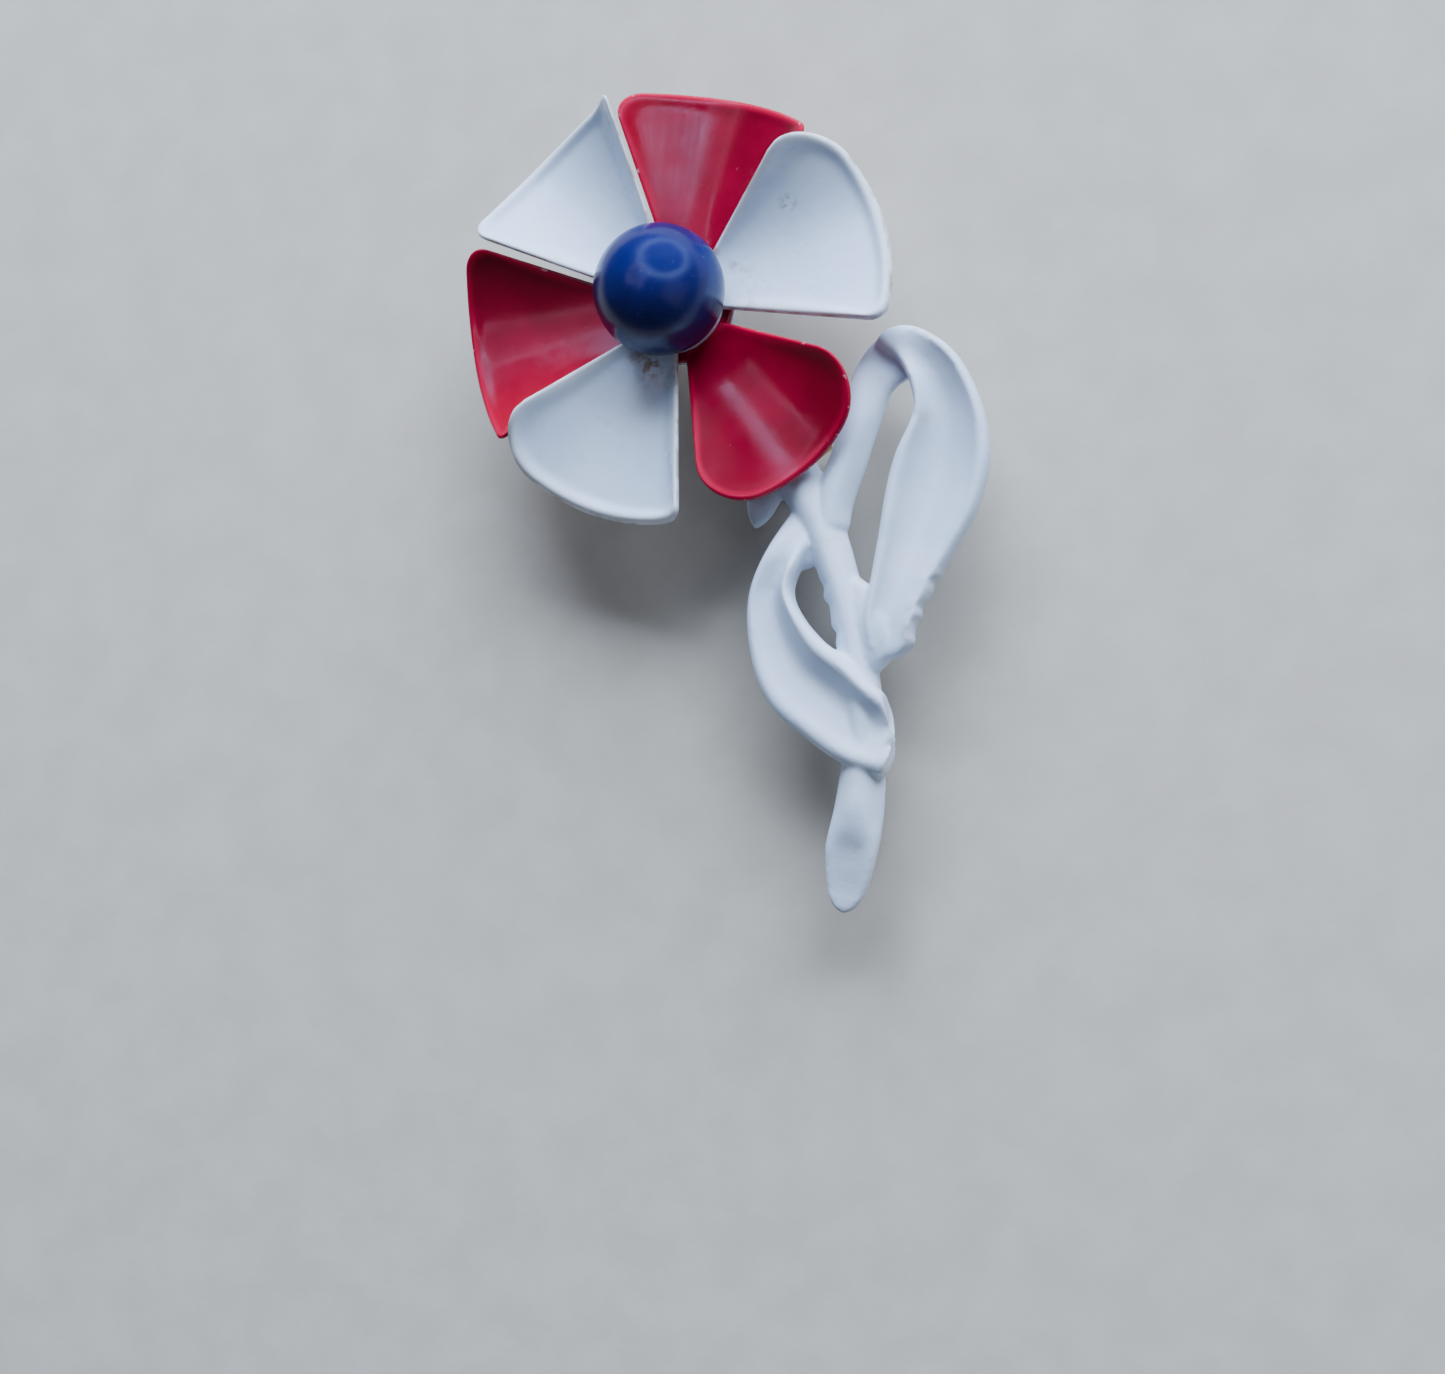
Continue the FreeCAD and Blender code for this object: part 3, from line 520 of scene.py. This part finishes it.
def limb(stations, width, foot, bells=(), waves=None, scallops=0, rounding=1.4, count=190):
    """A limb of the casting: a section carried along a line.  Across it u goes from -1 on the
    left to 1 on the right; the top is the parabola through the heights of the left shoulder,
    the middle and the right shoulder, and bells are (u, height, width) lips and grooves added
    to it as bell curves that grow over the first 6 mm and fade over the last 3 mm; the
    section is cos^0.8 across and sin^0.62 up, so its sides are rounded and its underside is
    flat.  Both ends close on a quarter round.  waves is (side, from, to, length, height): the
    edge on that side swells in and out along that stretch, in a wave with a closer one half as
    high on it.  scallops is how far the last 2 mm swells, in three waves across it."""
    around, square_across, square_up = 80, 0.8, 0.62
    end_least, end_square = 0.02, 0.7
    grow_over, fade_over, wave_fade, scallop_over = 6.0, 3.0, 0.8, 2.0
    rows, at, length = through(stations, count)
    x, y, heading, share, right, middle, left = (column[:, None] for column in rows.T)
    at, heading = at[:, None], np.radians(heading)
    turn = np.linspace(0, 2 * math.pi, around, endpoint=False)
    u = np.sign(np.cos(turn)) * np.abs(np.cos(turn)) ** square_across
    side = np.sign(np.sin(turn)) * np.abs(np.sin(turn)) ** square_up
    top = middle + (right - left) / 2 * u + ((right + left) / 2 - middle) * u**2
    grown = np.clip(at / grow_over, 0, 1) ** 2 * np.clip((length - at) / fade_over, 0, 1) ** 0.5
    for place, height, spread in bells:
        top = top + height * grown * np.exp(-(((u - place) / spread) ** 2))
    from_end = np.clip(np.minimum(at, length - at) / rounding, end_least, 1)
    close = np.sqrt(1 - (1 - from_end) ** 2)
    z = (top + foot) / 2 + (top - foot) / 2 * side * close**end_square
    sideways = width * share / 2 * close * u
    if waves:
        edge, first, last, wave, swell = waves
        within = np.clip((at - first) / wave_fade, 0, 1) * np.clip((last - at) / wave_fade, 0, 1)
        ripple = np.sin(2 * math.pi * at / wave) + 0.5 * np.sin(3.3 * math.pi * at / wave + 1.0)
        sideways = sideways + edge * swell * within * ripple * np.clip(edge * u, 0, 1) ** 2
    onward = scallops * np.cos(3 * math.pi * u) * np.clip(1 - (length - at) / scallop_over, 0, 1)
    across = x + sideways * np.sin(heading) + onward * np.cos(heading)
    upward = y - sideways * np.cos(heading) + onward * np.sin(heading)
    loops = np.stack([across, upward, z], -1)
    return skin(loops, loops[0].mean(axis=0), loops[-1].mean(axis=0))


def post(x, y, low, high, radius, count=64):
    """An upright round post: a profile with softened edges carried round its own axis."""
    soft, nick = 0.25, 0.07
    r = np.array([radius - soft, radius - nick, radius, radius, radius - nick, radius - soft])
    z = np.array([low, low + nick, low + soft, high - soft, high - nick, high])
    turn = np.linspace(0, 2 * math.pi, count, endpoint=False)
    r, z = r[:, None], z[:, None]
    loops = np.stack([x + r * np.cos(turn), y + r * np.sin(turn), z + 0 * turn], -1)
    return skin(loops, [x, y, low], [x, y, high])


# Stations along each limb: x, y, heading in degrees, share of the limb's width, and the heights
# of the right shoulder, the middle and the left shoulder.
stem_stations = [
    (-4.2, 12.4, -71, 0.80, -1.4, -0.5, -1.4),
    (0.0, 0.0, -71, 0.98, -1.2, -0.4, -1.2),
    (4.1, -12.0, -71, 0.98, -1.2, -0.3, -1.2),
    (8.0, -23.5, -76, 1.00, -1.0, 0.1, -1.0),
    (8.8, -31.0, -88, 0.84, -0.8, 0.7, -0.8),
    (8.7, -39.0, -92, 0.80, -0.8, 0.7, -0.8),
    (7.6, -46.5, -103, 0.88, -0.8, 0.7, -0.8),
    (5.9, -52.0, -111, 1.02, -0.8, 0.6, -0.8),
    (4.9, -54.6, -113, 1.09, -0.6, 0.5, -0.6),
    (4.2, -56.2, -115, 1.12, -0.2, 0.1, -0.2),
    (3.5, -57.6, -115, 1.12, -0.1, -0.55, -0.1),
    (2.7, -59.4, -116, 1.02, -0.5, -1.05, -0.5),
    (1.9, -61.2, -116, 0.84, -1.0, -1.5, -1.0),
    (0.9, -63.2, -116, 0.46, -1.5, -1.75, -1.5),
]
stalk_stations = [
    (8.9, -27.4, 75, 0.80, -0.8, 0.2, -0.8),
    (10.1, -24.2, 62, 0.86, -0.8, 0.3, -0.8),
    (12.4, -20.7, 58, 0.86, -0.8, 0.3, -0.8),
    (14.9, -16.9, 57, 0.84, -0.8, 0.2, -0.8),
    (17.3, -13.3, 46, 0.98, -0.7, -0.3, -0.2),
    (20.0, -11.9, 10, 1.10, -0.6, -0.6, 0.4),
    (22.2, -12.0, -20, 0.90, -0.5, -0.3, 0.6),
]
right_leaf_stations = [
    (18.4, -10.4, 14, 0.16, 0.6, 0.9, 0.8),
    (20.6, -10.9, -25, 0.34, 1.0, 1.2, 1.3),
    (22.8, -13.6, -62, 0.52, 1.5, 1.1, 1.6),
    (23.6, -18.0, -90, 0.68, 1.6, 0.3, 1.6),
    (22.0, -23.2, -108, 0.99, 1.6, -0.1, 1.6),
    (19.9, -27.1, -120, 1.00, 1.5, -0.1, 1.5),
    (17.4, -30.7, -126, 0.84, 1.3, 0.1, 1.3),
    (14.8, -34.4, -122, 0.66, 1.0, 0.5, 1.0),
    (12.9, -37.6, -112, 0.56, 0.9, 0.7, 0.9),
    (11.9, -41.0, -102, 0.44, 0.6, 0.6, 0.6),
]
left_leaf_stations = [
    (7.6, -24.4, -140, 0.44, -1.4, -1.1, -1.4),
    (4.3, -28.0, -130, 0.46, 0.4, 0.7, 1.0),
    (2.1, -31.3, -105, 0.53, 0.8, 0.3, 1.8),
    (1.8, -35.4, -85, 0.73, 0.9, 0.1, 2.1),
    (2.6, -39.5, -58, 0.94, 1.0, 0.2, 2.2),
    (5.1, -43.2, -47, 1.00, 1.2, 0.4, 2.2),
    (7.6, -46.5, -33, 0.96, 1.4, 0.6, 2.1),
    (10.2, -48.6, -12, 0.91, 1.4, 0.8, 1.7),
]
spur_stations = [
    (5.6, -14.0, -105, 1.0, -1.1, -0.9, -1.1),
    (4.2, -19.0, -112, 1.0, -1.1, -0.9, -1.1),
    (2.9, -22.0, -117, 0.66, -1.2, -1.0, -1.2),
    (1.7, -24.0, -120, 0.26, -1.3, -1.2, -1.3),
]
web_stations = [
    (10.2, -31.8, -95, 0.4, -0.6, -0.2, -0.2),
    (10.7, -34.8, -96, 0.9, 0.2, 0.4, 0.5),
    (10.7, -38.3, -98, 1.1, 0.2, 0.6, 0.6),
    (9.9, -41.6, -100, 0.8, -0.5, 0.1, 0.0),
]
crotch_stations = [
    (7.6, -25.4, -125, 0.8, -0.7, -0.4, -0.7),
    (6.1, -27.6, -125, 1.0, -0.7, -0.4, -0.7),
    (5.0, -29.4, -122, 0.8, -0.9, -0.7, -0.9),
]
back = -2.4
right_bells = ((-0.80, 0.6, 0.20), (0.1, -0.6, 0.5), (0.80, 0.6, 0.20))
left_bells = ((-0.74, 0.8, 0.25), (-0.15, -0.5, 0.35), (0.76, 0.45, 0.25))
leaf_waves, stem_waves = (-1, 26.5, 35.5, 2.6, 0.13), (1, 45.0, 53.0, 2.6, 0.16)
casting = build(
    "stem_casting_enamelled",
    [
        post(0.0, 0.0, back, high=-0.02, radius=5.4),
        limb(stem_stations, 4.6, back, waves=stem_waves),
        limb(stalk_stations, 4.6, back + 0.2),
        limb(right_leaf_stations, 9.4, back + 0.7, right_bells, waves=leaf_waves),
        limb(left_leaf_stations, 8.6, back + 0.3, left_bells, scallops=0.22, rounding=0.9),
        limb(spur_stations, 4.8, back, count=60),
        limb(web_stations, 3.8, back, count=90),
        limb(crotch_stations, 3.6, back, count=60),
    ],
)
melt = casting.modifiers.new("one_skin", "REMESH")
melt.mode = "VOXEL"
melt.voxel_size = 0.21 * MM
melt.use_smooth_shade = True
soften = casting.modifiers.new("enamel_rounding", "SMOOTH")
soften.factor = 0.5
soften.iterations = 9

# White enamel on a zinc casting: a little greyer than on the petals, its blue tint partly painted
# cool daylight, with small pits from the mould, thinned to warm grey on the highest edges, a
# painted highlight on the rounded edges and painted grey shade in the hollows.
casting_enamel = finish(
    "white_enamel_on_zinc",
    # Both tones are tinted blue: partly the painted colour of the cool daylight.
    (8.0, "#c4d4e9", "#d1dff0"),
    [
        # Painted highlight: paler warm white on the sharply rounded edges.
        (0.45, "#e8dfd8", ("edge", 0.515, 0.56)),
        (0.35, "#b9a48c", ("edge", 0.54, 0.58), (3.0, 0.48, 0.64)),
        # Painted shade: grey in the hollows and creases.
        (0.45, "#9c9ba4", ("edge", 0.485, 0.44)),
        (0.30, "#b3a79d", (4.0, 0.62, 0.74)),
    ],
    (0.04, ((1.4, 0.7), (0.35, 0.3))),
    (5.0, 0.28, 0.42),
    **{"IOR": 1.52, "Coat Weight": 0.2, "Coat Roughness": 0.22},
)
casting.data.materials.append(casting_enamel)
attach(casting, "brooch")

# The stud's head, spread over the back of the bar.
bar_turn = math.radians(-71.0)
stud_at, head_low, bar_back = 11.0, back - 1.3, back - 0.8
stud_x, stud_y = stud_at * math.cos(bar_turn), stud_at * math.sin(bar_turn)
stud = build(
    "casting_stud_head",
    [
        post(stud_x, stud_y, head_low, high=back + 0.6, radius=0.8),
        post(stud_x, stud_y, head_low, high=bar_back, radius=1.3),
    ],
)
stud.data.materials.append(casting_enamel)
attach(stud, "brooch")
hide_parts("stem_casting")


# ---------------------------------------------------------------------------------------------
# Pin bar and hinge bracket: brass strip, stamped, folded and thinly gilt; the bar lies along
# the casting's back, held by the centre rivet and the stud, and the bracket stands on its end.

# Rolled gilt brass: gold with fine lines along the strip, dulled to brown in patches and
# spots, rubbed brighter on its edges.
rolled_brass = finish(
    "gilt_rolled_brass",
    (3.2, "#cfae6b", "#b08c52"),
    [(0.60, "#5f4a2c", (0.7, 0.64, 0.74)), (0.50, "#e6cf96", ("edge", 0.52, 0.62))],
    (0.006, ((0.12, 1.0),)),
    (3.2, 0.26, 0.44),
    lines=-bar_turn,
    Metallic=1.0,
)
for name in ("pin_bar", "hinge_bracket"):
    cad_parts[name].material_slots[0].material = rolled_brass


# ---------------------------------------------------------------------------------------------
# Bead floor, centre rivet and washer: turned and stamped brass behind the flower; the rivet
# passes through floor, petals, casting and bar, and its tail is spread over the washer.

# Turned gilt brass: the same plate without the strip's lines, duller from handling.
turned_brass = finish(
    "gilt_turned_brass",
    (1.8, "#c8a765", "#a5824a"),
    [(0.65, "#54412a", (0.6, 0.60, 0.72)), (0.50, "#e6cf96", ("edge", 0.52, 0.62))],
    (0.008, ((0.3, 0.6), (0.1, 0.4))),
    (1.6, 0.28, 0.46),
    Metallic=1.0,
)
for name in ("bead_floor", "centre_rivet", "rivet_washer"):
    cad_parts[name].material_slots[0].material = turned_brass


# ---------------------------------------------------------------------------------------------
# Hinge pin and pin stem: hard steel wire, drawn, ground to a point and nickel bright; the
# hinge pin is pressed through the bracket's ears and the pin stem turns on it.

# Polished drawn steel: cool and bright, with faint lines along the wire.
drawn_steel = finish(
    "polished_drawn_steel",
    (2.0, "#c9c8c4", "#b0ada6"),
    [(0.4, "#6e665c", (0.8, 0.66, 0.76))],
    (0.004, ((0.08, 1.0),)),
    (2.0, 0.16, 0.30),
    lines=-bar_turn,
    Metallic=1.0,
)
for name in ("hinge_pin", "pin_stem"):
    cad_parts[name].material_slots[0].material = drawn_steel


# ---------------------------------------------------------------------------------------------
# Safety catch: a split brass ring soldered on the bar, and the barrel that turns in it to
# close over the pin's tip; both turned and gilt like the rivet.
for name in ("catch_ring", "catch_barrel"):
    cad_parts[name].material_slots[0].material = turned_brass


sizes = {"cad": cad_box, "visual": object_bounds()}
sizes = {key: [[float(x) for x in corner] for corner in box] for key, box in sizes.items()}
